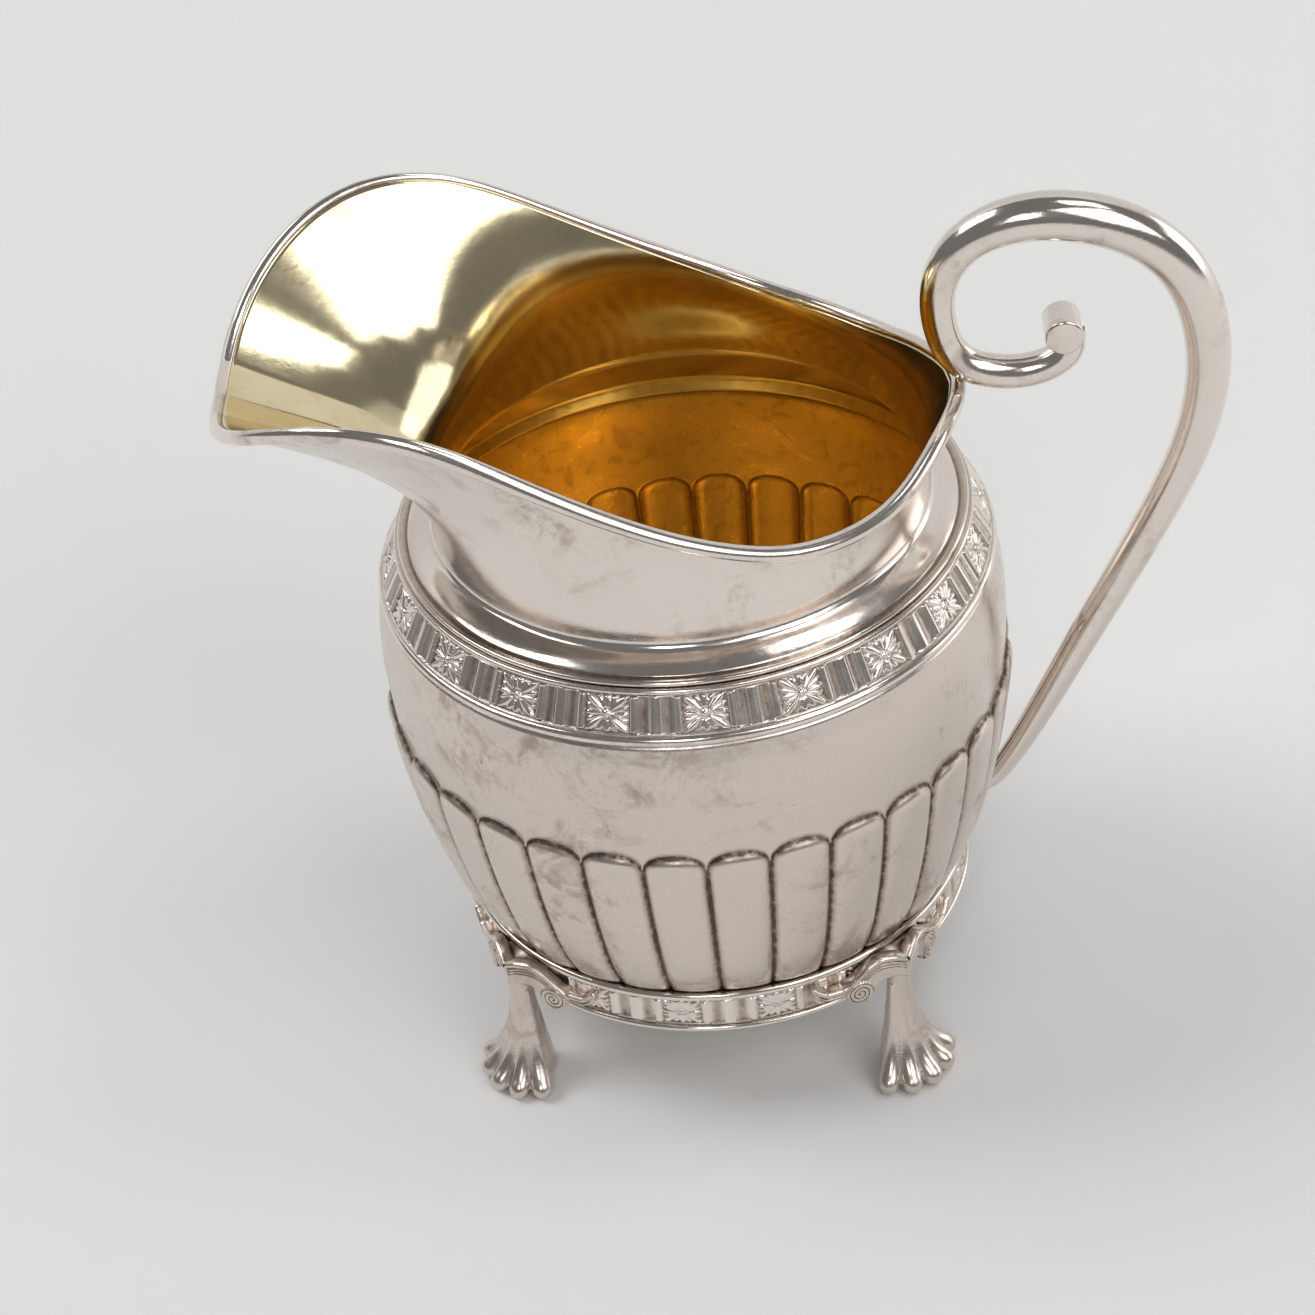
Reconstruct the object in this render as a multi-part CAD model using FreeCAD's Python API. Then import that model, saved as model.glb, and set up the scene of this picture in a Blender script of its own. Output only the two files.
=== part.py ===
import FreeCAD, Part
import math
import os
from FreeCAD import Vector

# Silver cream jug. Millimetres, +Z up, spout towards -X, handle towards +X.
# Everything is built about the body axis with the table at z = 0, and moved at the end so that
# the origin is the middle of the footprint.

# ---- driving dimensions ----
band_r = 41.0          # milled shoulder band, lower edge
band_lean = 2.5        # how far the band leans inwards over its height
belly_swell = 1.3      # belly radius beyond the band
ring_r = 35.6          # base ring, over the rosettes
foot_h = 16.0          # table to the underside of the base ring
bowl_h = 55.0          # underside of the base ring to the seam of bowl and neck
wall = 0.7             # sheet thickness of bowl and neck
lobe_count = 32        # lobes round the bowl
lobe_rise = 1.15       # height of a lobe above its grooves
lobe_top = 34.7        # underside of the base ring to the cusps between the lobe tops
lobe_round = 2.8       # apex of a lobe above the cusps
lobe_turn = -4.9       # nearest lobe round from the handle, degrees
neck_r = 32.9          # outside radius at the foot of the neck
neck_up = 11.5         # seam to the narrowest part of the neck
lip_low = 19.2         # seam to the lowest point of the rim, at the handle side
lip_high = 42.8        # seam to the top of the spout's sides
spout_reach = 58.6     # body axis to the tip of the spout
mouth_half = 33.4      # half the width of the mouth
rim_r = 1.15           # radius of the rim wire
handle_reach = 69.5    # body axis to the outermost point of the handle's centreline
handle_top = 118.4     # table to the top of the handle's centreline
handle_d = 6.6         # handle rod, thickest part
eye_d = 4.9            # scroll eye diameter
eye_len = 5.4          # scroll eye length
band_h = 4.7           # milled strip of the shoulder band
bead_low_h = 1.5       # half-round bead under the shoulder band
bead_fine_h = 0.8      # each of the two fine beads above the band
base_band_h = 4.7      # milled strip of the base ring
base_wire_h = 0.9      # wire under the base ring
base_bead_h = 1.3      # bead on top of the base ring
relief = 0.45          # height of the milled pattern
shoulder_repeats = 20  # rosettes round the shoulder band
shoulder_turn = 3.4    # nearest of them round from the handle, degrees
base_repeats = 17      # rosettes round the base ring
base_turn = 7.2        # nearest of them round from the handle, degrees
foot_count = 4
foot_turn = -4.0       # feet round from the corners between spout and handle, degrees
knee_out = 3.3         # crease of a bracket beyond the base ring
wing_angle = 21.0      # crease to wing tip, seen from the body axis, degrees
plate_t = 1.3          # thickness of a bracket's wing
paw_out = 0.8          # middle of a paw beyond the base ring
toe_reach = 6.6        # middle of a paw to the centre of a toe's tip
toe_r = 1.3            # radius of a toe near its tip
toe_count = 5
toe_fan = 60.0         # outermost toes to the middle one, degrees

# ---- sizes that follow ----
knee_r = ring_r + knee_out
paw_r = ring_r + paw_out
lap_r = band_r - 0.1 - wall - 0.3      # lap joint of neck sheet and bowl
foot_r = ring_r - 1.0                  # seat of the base ring on the bowl
seam_z = foot_h + bowl_h
ring_top = foot_h + base_wire_h + base_band_h + base_bead_h
belly_r = band_r + belly_swell
neck_z = seam_z + neck_up
scale_h = bowl_h / 55.0


def lerp_table(table, value):
    """Smooth monotone reading of a table of (key, value) pairs."""
    keys = [row[0] for row in table]
    vals = [row[1] for row in table]
    if value <= keys[0]:
        return vals[0]
    if value >= keys[-1]:
        return vals[-1]
    count = len(keys)
    step = [(vals[i + 1] - vals[i]) / (keys[i + 1] - keys[i]) for i in range(count - 1)]
    slope = [step[0]]
    for i in range(1, count - 1):
        pair = step[i - 1] * step[i]
        slope.append(2.0 * pair / (step[i - 1] + step[i]) if pair > 0.0 else 0.0)
    slope.append(step[-1])
    i = max(k for k in range(count - 1) if keys[k] <= value)
    gap = keys[i + 1] - keys[i]
    t = (value - keys[i]) / gap
    return ((2 * t ** 3 - 3 * t ** 2 + 1) * vals[i] + (t ** 3 - 2 * t ** 2 + t) * gap * slope[i]
            + (-2 * t ** 3 + 3 * t ** 2) * vals[i + 1] + (t ** 3 - t ** 2) * gap * slope[i + 1])


def revolve(edges):
    return Part.Face(Part.Wire(edges)).revolve(Vector(0, 0, 0), Vector(0, 0, 1), 360)


def line(a, b):
    return Part.makeLine(Vector(a[0], 0, a[1]), Vector(b[0], 0, b[1]))


def flat_ring(corners):
    """Ring with a straight-sided section given by (radius, height) corners."""
    return revolve([line(corners[i - 1], corners[i]) for i in range(len(corners))])


def half_round(r_in, r_out, z_low, height, lean=0.0):
    """Wire with a flat back, r_in at its foot and leaning in, and a rounded front at r_out."""
    z_high = z_low + height
    r_side = r_out - 0.5 * height
    arc = Part.Arc(Vector(r_side, 0, z_low), Vector(r_out, 0, z_low + 0.5 * height),
                   Vector(r_side, 0, z_high)).toShape()
    return revolve([line((r_in, z_low), (r_side, z_low)), arc,
                    line((r_side, z_high), (r_in - lean, z_high)),
                    line((r_in - lean, z_high), (r_in, z_low))])


def largest(shape):
    """The one solid of a trimmed piece, without crumbs left inside what it is soldered to."""
    return max(shape.Solids, key=lambda solid: solid.Volume)


def turn(shape, degrees):
    copy = shape.copy()
    copy.rotate(Vector(0, 0, 0), Vector(0, 0, 1), degrees)
    return copy


def sewn(faces):
    parts = Part.makeCompound(faces)
    parts.sewShape(0.001)
    solid = Part.makeSolid(parts.Shells[0])
    if solid.Volume < 0:
        solid.reverse()
    return solid


# ---- bowl: two skins of lobed sectors, sewn ----
bowl_profile = [
    (ring_top, foot_r),
    (ring_top + 0.115 * bowl_h, foot_r + 0.36 * (belly_r - foot_r)),
    (ring_top + 0.25 * bowl_h, foot_r + 0.62 * (belly_r - foot_r)),
    (ring_top + 0.37 * bowl_h, foot_r + 0.79 * (belly_r - foot_r)),
    (ring_top + 0.50 * bowl_h, foot_r + 0.92 * (belly_r - foot_r)),
    (ring_top + 0.60 * bowl_h, foot_r + 0.975 * (belly_r - foot_r)),
    (ring_top + 0.70 * bowl_h, belly_r),
    (ring_top + 0.79 * bowl_h, belly_r - 0.25 * belly_swell),
    (seam_z, band_r - 0.1),
]


def bowl_radius(z):
    return lerp_table(bowl_profile, z)


def lobe_height(u, z):
    """Height of a lobe at u (-1..1 across it) and height z."""
    crown = foot_h + lobe_top * scale_h + lobe_round * math.sqrt(max(0.0, 1.0 - u * u))
    head = min(1.0, max(0.0, (crown - z) / 2.6))
    tail = min(1.0, max(0.0, (z - ring_top) / 1.6))
    across = 1.0 - abs(u) ** 2.4
    return lobe_rise * across * math.sqrt(1.0 - (1.0 - head) ** 2) * math.sqrt(1.0 - (1.0 - tail) ** 2)


half_pitch = math.pi / lobe_count
u_marks = [-1.0, -0.9, -0.72, -0.5, -0.25, 0.0, 0.25, 0.5, 0.72, 0.9, 1.0]


def clamped(count):
    """Multiplicities and knots of a clamped cubic with this many poles."""
    spans = count - 3
    return [4] + [1] * (spans - 1) + [4], [float(k) for k in range(spans + 1)]


def skin(grid):
    """Smooth face that follows a grid of points; neighbours share the poles of their edge."""
    mults_a, knots_a = clamped(len(grid))
    mults_b, knots_b = clamped(len(grid[0]))
    surface = Part.BSplineSurface()
    surface.buildFromPolesMultsKnots(grid, mults_a, mults_b, knots_a, knots_b, False, False, 3, 3)
    return surface.toShape()


def sector(rows):
    """One lobe-wide face through rows of (function of u -> radius, height)."""
    grid = []
    for radius_of, height in rows:
        row = []
        for u in u_marks:
            angle = u * half_pitch
            r = radius_of(u)
            row.append(Vector(r * math.cos(angle), r * math.sin(angle), height))
        grid.append(row)
    return skin(grid)


def lobed_rows(inset, heights):
    return [(lambda u, z=z: bowl_radius(z) - inset + lobe_height(u, z), z) for z in heights]


def plain_rows(pairs):
    return [(lambda u, r=r: r, z) for r, z in pairs]


crown_z = foot_h + lobe_top * scale_h
lobe_marks = [ring_top, ring_top + 0.25, ring_top + 0.8, ring_top + 1.7, ring_top + 3.4]
lobe_marks += [ring_top + 3.4 + (crown_z - 3.0 - ring_top - 3.4) * k / 7.0 for k in range(1, 8)]
lobe_marks += [crown_z - 2.0 + 0.6 * k for k in range(9)]
plain_marks = [crown_z + 3.5 + (seam_z - 1.6 - crown_z - 3.5) * k / 6.0 for k in range(1, 7)]
outer_marks = lobe_marks + plain_marks + [seam_z]
inner_marks = lobe_marks + plain_marks

floor_z = foot_h + 3.2
cup = [(foot_r - 7.0, floor_z), (foot_r - 4.4, floor_z + 0.35), (foot_r - 2.0, floor_z + 1.3),
       (foot_r - 0.45, ring_top - 2.2)]
inset_at_top = bowl_radius(seam_z - 1.6) - lap_r


def inner_radius(u, z):
    share = min(1.0, max(0.0, (z - (seam_z - 7.0)) / 5.4))
    inset = wall + (inset_at_top - wall) * share
    return bowl_radius(z) - inset + lobe_height(u, z)


inner_rows = [(lambda u, z=z: inner_radius(u, z), z) for z in inner_marks]
outer_sector = sector(lobed_rows(0.0, outer_marks))
seat_sector = sector(plain_rows([(foot_r, ring_top - 2.0), (foot_r, ring_top - 1.3),
                                 (foot_r, ring_top - 0.6), (foot_r, ring_top)]))
under_sector = sector(plain_rows([(r, z) for r, z in cup] + [(foot_r, ring_top - 2.0)]))
inner_sector = sector(inner_rows)
inner_cup = sector(plain_rows([(foot_r - 7.6, floor_z + wall), (foot_r - 5.2, floor_z + 0.35 + wall),
                               (foot_r - 3.2, floor_z + 1.2 + wall), (foot_r - 1.7, ring_top - 1.6),
                               (foot_r - wall, ring_top)]))
lip_sector = sector(plain_rows([(lap_r, seam_z - 1.6), (lap_r, seam_z - 1.0),
                                (lap_r, seam_z - 0.5), (lap_r, seam_z)]))


def ring_wire(face, height):
    edge = [e for e in face.Edges
            if abs(e.BoundBox.ZMin - height) < 1e-3 and abs(e.BoundBox.ZMax - height) < 1e-3][0]
    return [turn(edge, 360.0 * k / lobe_count) for k in range(lobe_count)]


def disc(edges, hole=None):
    outer = Part.Wire(Part.__sortEdges__(edges))
    if hole is None:
        return Part.Face(outer)
    return Part.makeFace([outer, Part.Wire(Part.__sortEdges__(hole))], "Part::FaceMakerBullseye")


skins = []
for part in (outer_sector, seat_sector, under_sector, inner_sector, inner_cup, lip_sector):
    skins += [turn(part, 360.0 * k / lobe_count) for k in range(lobe_count)]
skins.append(disc(ring_wire(under_sector, floor_z)))
skins.append(disc(ring_wire(inner_cup, floor_z + wall)))
skins.append(disc(ring_wire(outer_sector, seam_z), ring_wire(lip_sector, seam_z)))
bowl = turn(sewn(skins), lobe_turn)


# ---- neck sheet: tail, shoulder, neck and lip ----
around = 96
pole_gain = 6.0 / (4.0 + 2.0 * math.cos(2.0 * math.pi / around))
band_top = seam_z + bead_low_h + band_h + 2.0 * bead_fine_h
strip_low = seam_z + bead_low_h
strip_top = strip_low + band_h
strip_in = lap_r - band_lean          # back of the strip at its top edge
shoulder_r = strip_in - 0.34 * band_lean
height_table = [       # degrees from the handle, height share of the lip's edge
    (0.0, 0.19), (20.0, 0.096), (40.0, -0.015), (60.0, 0.011), (80.0, 0.161), (95.0, 0.326),
    (110.0, 0.532), (122.0, 0.735), (134.0, 0.954), (146.0, 1.008), (158.0, 0.766),
    (169.0, 0.555), (180.0, 0.371)]
lean_table = [(0.0, 62.0), (41.0, 74.0), (77.0, 80.0), (96.0, 76.0), (112.0, 68.0), (126.0, 59.0),
              (137.0, 50.0), (146.0, 43.0), (155.0, 36.0), (165.0, 30.0), (180.0, 26.0)]
side_table = [         # degrees from the handle, lip's edge beyond half the mouth's width
    (0.0, 4.0), (20.0, 1.15), (40.0, 0.3), (60.0, -0.4), (80.0, -1.1), (95.0, -0.75), (110.0, 1.0),
    (122.0, 4.1), (134.0, 9.0), (146.0, 16.4), (158.0, 22.6), (169.0, 24.05), (180.0, 23.7)]


def around_lip(table, degrees):
    """Softened reading of a table that runs from the handle (0) to the spout (180)."""
    total = 0.0
    for step, weight in ((-2, 1.0), (-1, 4.0), (0, 6.0), (1, 4.0), (2, 1.0)):
        place = (degrees + 6.0 * step + 180.0) % 360.0 - 180.0
        total += weight / 16.0 * lerp_table(table, abs(place))
    return total


def rim_at(degrees):
    """Radius, height and lean of the lip's edge, by degrees from the handle."""
    out = around_lip(side_table, degrees)
    if out > 0.3:
        out = 0.3 + (out - 0.3) * (spout_reach - rim_r - mouth_half - 0.3) / 23.75
    height = seam_z + lip_low + (lip_high - lip_low) * around_lip(height_table, degrees)
    return mouth_half + out, height, math.radians(around_lip(lean_table, degrees))


def lip_section(degrees, inner):
    """Poles of one upright section of the neck, from its waist to the edge."""
    radius, height, lean = rim_at(degrees)
    inset = wall if inner else 0.0
    tip = (radius - inset * math.sin(lean), height + inset * math.cos(lean))
    root = (neck_r - inset, neck_z)
    span = math.hypot(tip[0] - root[0], tip[1] - root[1])
    low = (root[0], root[1] + 0.30 * span)
    high = (tip[0] - 0.42 * span * math.cos(lean), tip[1] - 0.42 * span * math.sin(lean))
    poles = []
    for k in range(11):
        t = k / 10.0
        a, b, c, d = (1 - t) ** 3, 3 * t * (1 - t) ** 2, 3 * t * t * (1 - t), t ** 3
        poles.append((a * root[0] + b * low[0] + c * high[0] + d * tip[0],
                      a * root[1] + b * low[1] + c * high[1] + d * tip[1]))
    return poles


def tube_skin(rows):
    """Closed face through rows of points, each row going all the way round the axis."""
    mults, knots = clamped(len(rows))
    grid = [[row[j] for row in rows] for j in range(around)]
    surface = Part.BSplineSurface()
    surface.buildFromPolesMultsKnots(grid, [1] * (around + 1), mults,
                                     [float(k) for k in range(around + 1)], knots,
                                     True, False, 3, 3)
    return surface.toShape()


def round_row(radius, height):
    return [Vector(radius * pole_gain * math.cos(2 * math.pi * j / around),
                   radius * pole_gain * math.sin(2 * math.pi * j / around), height)
            for j in range(around)]


def blend_rows(row_a, row_b):
    return [[a + (b - a) * (k / 3.0) for a, b in zip(row_a, row_b)] for k in range(4)]


def section_rows(inner):
    sections = [lip_section(360.0 * j / around, inner) for j in range(around)]
    rows = []
    for k in range(11):
        rows.append([Vector(sections[j][k][0] * pole_gain * math.cos(2 * math.pi * j / around),
                            sections[j][k][0] * pole_gain * math.sin(2 * math.pi * j / around),
                            sections[j][k][1]) for j in range(around)])
    return rows


def offset(points, inset):
    """Section moved square to itself, towards the inside of the jug."""
    moved = []
    for i, (r, z) in enumerate(points):
        before, after = points[max(0, i - 1)], points[min(len(points) - 1, i + 1)]
        dr, dz = after[0] - before[0], after[1] - before[1]
        size = math.hypot(dr, dz)
        moved.append((r - inset * dz / size, z + inset * dr / size))
    return moved


def shoulder_rows(inset):
    rise = neck_z - band_top
    fall = shoulder_r - neck_r
    shape = [(1.0, 0.0), (0.85, 0.11), (0.62, 0.23), (0.40, 0.32), (0.20, 0.40), (0.07, 0.50),
             (0.0, 0.64), (0.0, 0.82), (0.0, 1.0)]
    section = [(neck_r + fall * a, band_top + rise * b) for a, b in shape]
    return [round_row(r, z) for r, z in offset(section, inset)]


def wall_between(low, high):
    return tube_skin(blend_rows(round_row(*low), round_row(*high)))


tail_z = seam_z - 1.4
outer_lip = section_rows(False)
inner_lip = section_rows(True)
outer_shoulder = shoulder_rows(0.0)
inner_shoulder = shoulder_rows(wall)
tail_in = lap_r - wall
skirt = [(lap_r, tail_z), (lap_r, strip_low), (strip_in, strip_top), (shoulder_r, band_top)]
lining = [(tail_in, tail_z), (tail_in, strip_low - 0.3 * wall),
          (strip_in - 1.1 * wall, strip_top - 0.35 * wall)]
neck_skins = [
    tube_skin(outer_lip),
    tube_skin(outer_shoulder),
    tube_skin(inner_shoulder),
    tube_skin(inner_lip),
    tube_skin(blend_rows(inner_lip[-1], outer_lip[-1])),
    wall_between(lining[0], skirt[0]),
    tube_skin(blend_rows(round_row(*lining[-1]), inner_shoulder[0])),
]
neck_skins += [wall_between(skirt[k], skirt[k + 1]) for k in range(3)]
neck_skins += [wall_between(lining[k], lining[k + 1]) for k in range(2)]
neck = sewn(neck_skins)

# ---- rim wire, seated on the sheet's edge ----
rim_shape = [(0.0, 0.0), (0.12, 0.30), (0.10, 0.75), (-0.25, 1.30), (-0.75, 1.55), (-1.35, 1.45),
             (-1.95, 1.05), (-2.25, 0.45), (-2.05, -0.20), (-1.55, -0.50), (-1.10, -0.35)]


def rim_row(a, b):
    row = []
    for j in range(around):
        angle = 2 * math.pi * j / around
        radius, height, lean = rim_at(360.0 * j / around)
        normal = wall + a * rim_r / 1.15
        along = b * rim_r / 1.15
        r = radius - normal * math.sin(lean) + along * math.cos(lean)
        z = height + normal * math.cos(lean) + along * math.sin(lean)
        row.append(Vector(r * pole_gain * math.cos(angle), r * pole_gain * math.sin(angle), z))
    return row


rim_rows = [inner_lip[-1]] + [rim_row(a, b) for a, b in rim_shape[1:]] + [outer_lip[-1]]
rim = sewn([tube_skin(blend_rows(inner_lip[-1], outer_lip[-1])), tube_skin(rim_rows)])

# ---- shoulder band and its beads ----
def milled_band(r_in, r_face, low, height, repeats, slope):
    """Strip with square rosettes and fluted panels between them."""
    strip = flat_ring([(r_in, low), (r_face, low), (r_face - slope, low + height),
                       (r_in - slope, low + height)])
    pitch = 360.0 / repeats
    middle = low + 0.5 * height
    r_mid = r_face - 0.5 * slope
    width = 2.0 * math.pi * r_mid / repeats
    half = 0.42 * min(height, 0.5 * width)
    centre = Vector(r_mid, 0, middle)
    tilt = math.degrees(math.atan2(slope, height))
    flower = Part.makeCone(half, 0.45 * half, relief, centre - Vector(0.12, 0, 0), Vector(1, 0, 0))
    flower = flower.fuse(Part.makeSphere(0.26 * half, centre + Vector(relief - 0.12, 0, 0)))
    flute = Part.makeCylinder(0.055 * width, 0.76 * height,
                              Vector(r_mid + 0.02, 0, low + 0.12 * height))
    for shape in (flower, flute):
        shape.rotate(centre, Vector(0, 1, 0), -tilt)
    offset_angle = math.degrees(0.085 * width / r_mid)
    domes, flutes = [], []
    for k in range(repeats):
        domes.append(turn(flower, k * pitch))
        for side in (-1, 1):
            flutes.append(turn(flute, (k + 0.5) * pitch + side * offset_angle))
    return strip.cut(Part.makeCompound(flutes)).fuse(domes)


face_r = band_r - relief + 0.12
fine_lean = 0.5 * (strip_in - shoulder_r)
bead_low = half_round(lap_r, band_r + 0.35, seam_z, bead_low_h)
band = turn(milled_band(lap_r, face_r, strip_low, band_h, shoulder_repeats, band_lean), shoulder_turn)
bead_mid = half_round(strip_in, strip_in + 1.1, strip_top, bead_fine_h, fine_lean)
bead_top = half_round(strip_in - fine_lean, strip_in - fine_lean + 0.95, strip_top + bead_fine_h,
                      bead_fine_h, fine_lean)

# ---- base ring ----
wire_base = half_round(foot_r, ring_r + 0.35, foot_h, base_wire_h)
base_strip = milled_band(foot_r, ring_r - relief + 0.12, foot_h + base_wire_h, base_band_h,
                         base_repeats, 0.0)
base_band = turn(base_strip, base_turn)
bead_base = half_round(foot_r, ring_r + 0.4, foot_h + base_wire_h + base_band_h, base_bead_h)

# ---- feet: a cast paw under a two-winged scroll bracket ----
def rod_skins(path, sides=16):
    """Round rod along points in the XZ plane; each point has its own radius."""
    gain = 6.0 / (4.0 + 2.0 * math.cos(2.0 * math.pi / sides))
    rows = []
    for i, (x, z, r) in enumerate(path):
        before, after = path[max(0, i - 1)], path[min(len(path) - 1, i + 1)]
        dx, dz = after[0] - before[0], after[1] - before[1]
        size = math.hypot(dx, dz)
        nx, nz = -dz / size, dx / size
        rows.append([Vector(x + r * gain * math.cos(a) * nx, r * gain * math.sin(a),
                            z + r * gain * math.cos(a) * nz)
                     for a in [2.0 * math.pi * j / sides for j in range(sides)]])
    mults, knots = clamped(len(rows))
    surface = Part.BSplineSurface()
    surface.buildFromPolesMultsKnots([[row[j] for row in rows] for j in range(sides)],
                                     [1] * (sides + 1), mults, [float(k) for k in range(sides + 1)],
                                     knots, True, False, 3, 3)
    tube = surface.toShape()
    ends = []
    for x, z, r in (path[0], path[-1]):
        edge = min(tube.Edges, key=lambda e: e.CenterOfMass.distanceToPoint(Vector(x, 0, z)))
        ends.append(Part.Face(Part.Wire([edge])))
    return [tube] + ends


ring_mid = foot_h + 0.55 * (ring_top - foot_h)
tip_r = ring_r + 0.5
wing = math.radians(wing_angle)
tip = Vector(tip_r * math.cos(wing), tip_r * math.sin(wing), 0)
crease = Vector(knee_r, 0, 0)
along = tip.sub(crease)
wing_len = along.Length
along.normalize()
inward = Vector(-along.y, along.x, 0)
if inward.x > 0:
    inward = inward.negative()
plate_top = [(0.0, 1.9), (0.12, 2.6), (0.26, 2.9), (0.40, 2.2), (0.55, 0.6), (0.70, -0.5),
             (0.82, -0.5), (0.92, 0.4), (0.99, 1.8)]
plate_low = [(1.0, -0.6), (0.90, -2.0), (0.78, -2.6), (0.66, -2.7), (0.60, -3.6), (0.50, -4.4),
             (0.40, -3.9), (0.34, -2.5), (0.24, -1.5), (0.12, -1.6), (0.0, -2.2)]


def plate(table_top, table_low, depth, proud):
    """Wing outline in its own upright plane, thickened towards the body."""
    def place(a, b):
        return crease + along * (a * wing_len) + Vector(0, 0, ring_mid + b) - inward * proud

    def spline(table):
        curve = Part.BSplineCurve()
        curve.interpolate([place(a, b) for a, b in table])
        return curve.toShape()

    upper, lower = spline(table_top), spline(table_low)
    ends = [Part.makeLine(place(*table_top[-1]), place(*table_low[0])),
            Part.makeLine(place(*table_low[-1]), place(*table_top[0]))]
    face = Part.Face(Part.Wire([upper, ends[0], lower, ends[1]]))
    return face.extrude(inward * depth)


web = plate(plate_top, plate_low, plate_t, 0.0)
flange_low = [(a, b - 0.9) for a, b in reversed(plate_top)]
flange = plate(plate_top, flange_low, plate_t + 0.5, 0.5)
spiral = Part.makeCylinder(1.75, plate_t + 0.35,
                           crease + along * (0.5 * wing_len) + Vector(0, 0, ring_mid - 2.45)
                           - inward * 0.35, inward)
half_space = Part.makeBox(80, 40, 40, Vector(0, 0, foot_h - 12))
wing_a = web.fuse([flange, spiral]).common(half_space)
wing_b = wing_a.mirror(Vector(0, 0, 0), Vector(0, 1, 0))
shelf_low = ring_mid + 0.8
shelf = Part.Face(Part.makePolygon([
    Vector(knee_r - 0.6, 0, shelf_low), Vector(knee_r - 3.0, 2.9, shelf_low),
    Vector(foot_r, 2.9, shelf_low), Vector(foot_r, -2.9, shelf_low),
    Vector(knee_r - 3.0, -2.9, shelf_low), Vector(knee_r - 0.6, 0, shelf_low)])).extrude(Vector(0, 0, 1.0))
collar = [wire_base, base_band, bead_base]
core = Part.makeCylinder(foot_r, ring_top, Vector(0, 0, 0))
bracket = wing_a.fuse([wing_b, shelf]).cut(core)


shin_path = [(0.75, 1.29, 1.5), (0.75, 1.2, 1.55), (0.7, 1.0, 1.65), (0.5, 0.75, 1.9), (0.3, 0.5, 2.3),
             (0.2, 0.3, 2.7), (0.1, 0.15, 2.9), (0.1, 0.06, 2.9)]
toe_path = [(0.04, 0.90, 0.40), (0.06, 0.80, 0.50), (0.12, 0.66, 0.60), (0.25, 0.47, 0.72),
            (0.44, 0.30, 0.84), (0.68, 0.17, 0.94), (0.88, 0.10, 1.0), (1.03, 0.07, 0.97),
            (1.14, 0.062, 0.75), (1.19, 0.06, 0.30)]
shin = sewn(rod_skins([(paw_r + x, z * foot_h, r) for x, z, r in shin_path]))
toe = sewn(rod_skins([(paw_r + x * toe_reach, z * foot_h, r * toe_r) for x, z, r in toe_path], 12))
toes = []
for k in range(toe_count):
    toes.append(toe.copy())
    toes[k].rotate(Vector(paw_r, 0, 0), Vector(0, 0, 1), -toe_fan + 2.0 * toe_fan * k / (toe_count - 1))
heel = Part.makeCone(3.4, 2.0, 0.32 * foot_h, Vector(paw_r, 0, 0))
below = Part.makeBox(40, 40, 10, Vector(paw_r - 20, -20, -10))
paw = heel.fuse([shin] + toes).cut(below)
corners = [45.0 + foot_turn + 360.0 * k / foot_count for k in range(foot_count)]
brackets = [largest(turn(bracket, angle).cut(collar)) for angle in corners]
paws = [largest(turn(paw, corners[k]).cut(collar + [brackets[k], core])) for k in range(foot_count)]

# ---- handle ----
rod_k = handle_d / 6.6
end_r, end_z, end_lean = rim_at(0.0)
root_z = ring_top + 3.3
root_r = bowl_radius(root_z) + lobe_rise
reach_k = (handle_reach - root_r) / (69.5 - 36.6)
top_k = (handle_top - end_z) / (118.4 - 94.1)
low_k = (end_z - root_z) / (94.1 - 26.2)


def bow(x, z, rod):
    """Point of the handle below the rim: bows out from the root."""
    return root_r + (x - 36.6) * reach_k, root_z + (z - 26.2) * low_k, rod * rod_k


def loop(x, z, rod):
    """Point of the handle above the rim: stays on the end of the rim."""
    side = end_r + (x - 36.2) * ((root_r + 32.9 * reach_k - end_r) / 33.3)
    return side, end_z + (z - 94.1) * top_k, rod * rod_k


rest_z = end_z + 0.35 * rim_r / 1.15 + 2.25 * rod_k
handle_path = [
    (root_r - lobe_rise - 0.5 * wall, root_z, 1.35 * rod_k), (root_r + 0.5, root_z + 0.02, 1.35 * rod_k),
    bow(38.4, 26.5, 1.4), bow(40.4, 28.6, 1.5), bow(44.9, 36.3, 1.85), bow(51.3, 49.3, 2.15),
    bow(57.6, 61.3, 2.3), bow(62.2, 70.4, 2.4), bow(66.3, 79.3, 2.55), bow(68.9, 88.0, 2.75),
    loop(69.6, 97.6, 2.95), loop(67.2, 107.8, 3.1), loop(61.3, 114.6, 3.2), loop(53.5, 118.0, 3.3),
    loop(45.4, 118.8, 3.1), loop(38.2, 116.2, 2.7), loop(34.4, 110.6, 2.35), loop(34.2, 103.9, 2.2),
    (end_r - 0.2, rest_z + 1.25, 2.2 * rod_k), (end_r + 3.9, rest_z - 0.85, 2.25 * rod_k),
    loop(45.0, 95.1, 2.25), loop(49.9, 96.5, 2.15), loop(51.7, 98.8, 2.0), loop(51.4, 101.2, 1.8)]


eye_x, eye_z = loop(50.4, 101.6, 2.0)[:2]
eye = Part.makeCylinder(0.5 * eye_d, eye_len, Vector(eye_x, -0.5 * eye_len, eye_z), Vector(0, 1, 0))
handle = largest(sewn(rod_skins(handle_path)).cut([eye, rim, bowl]))

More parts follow.
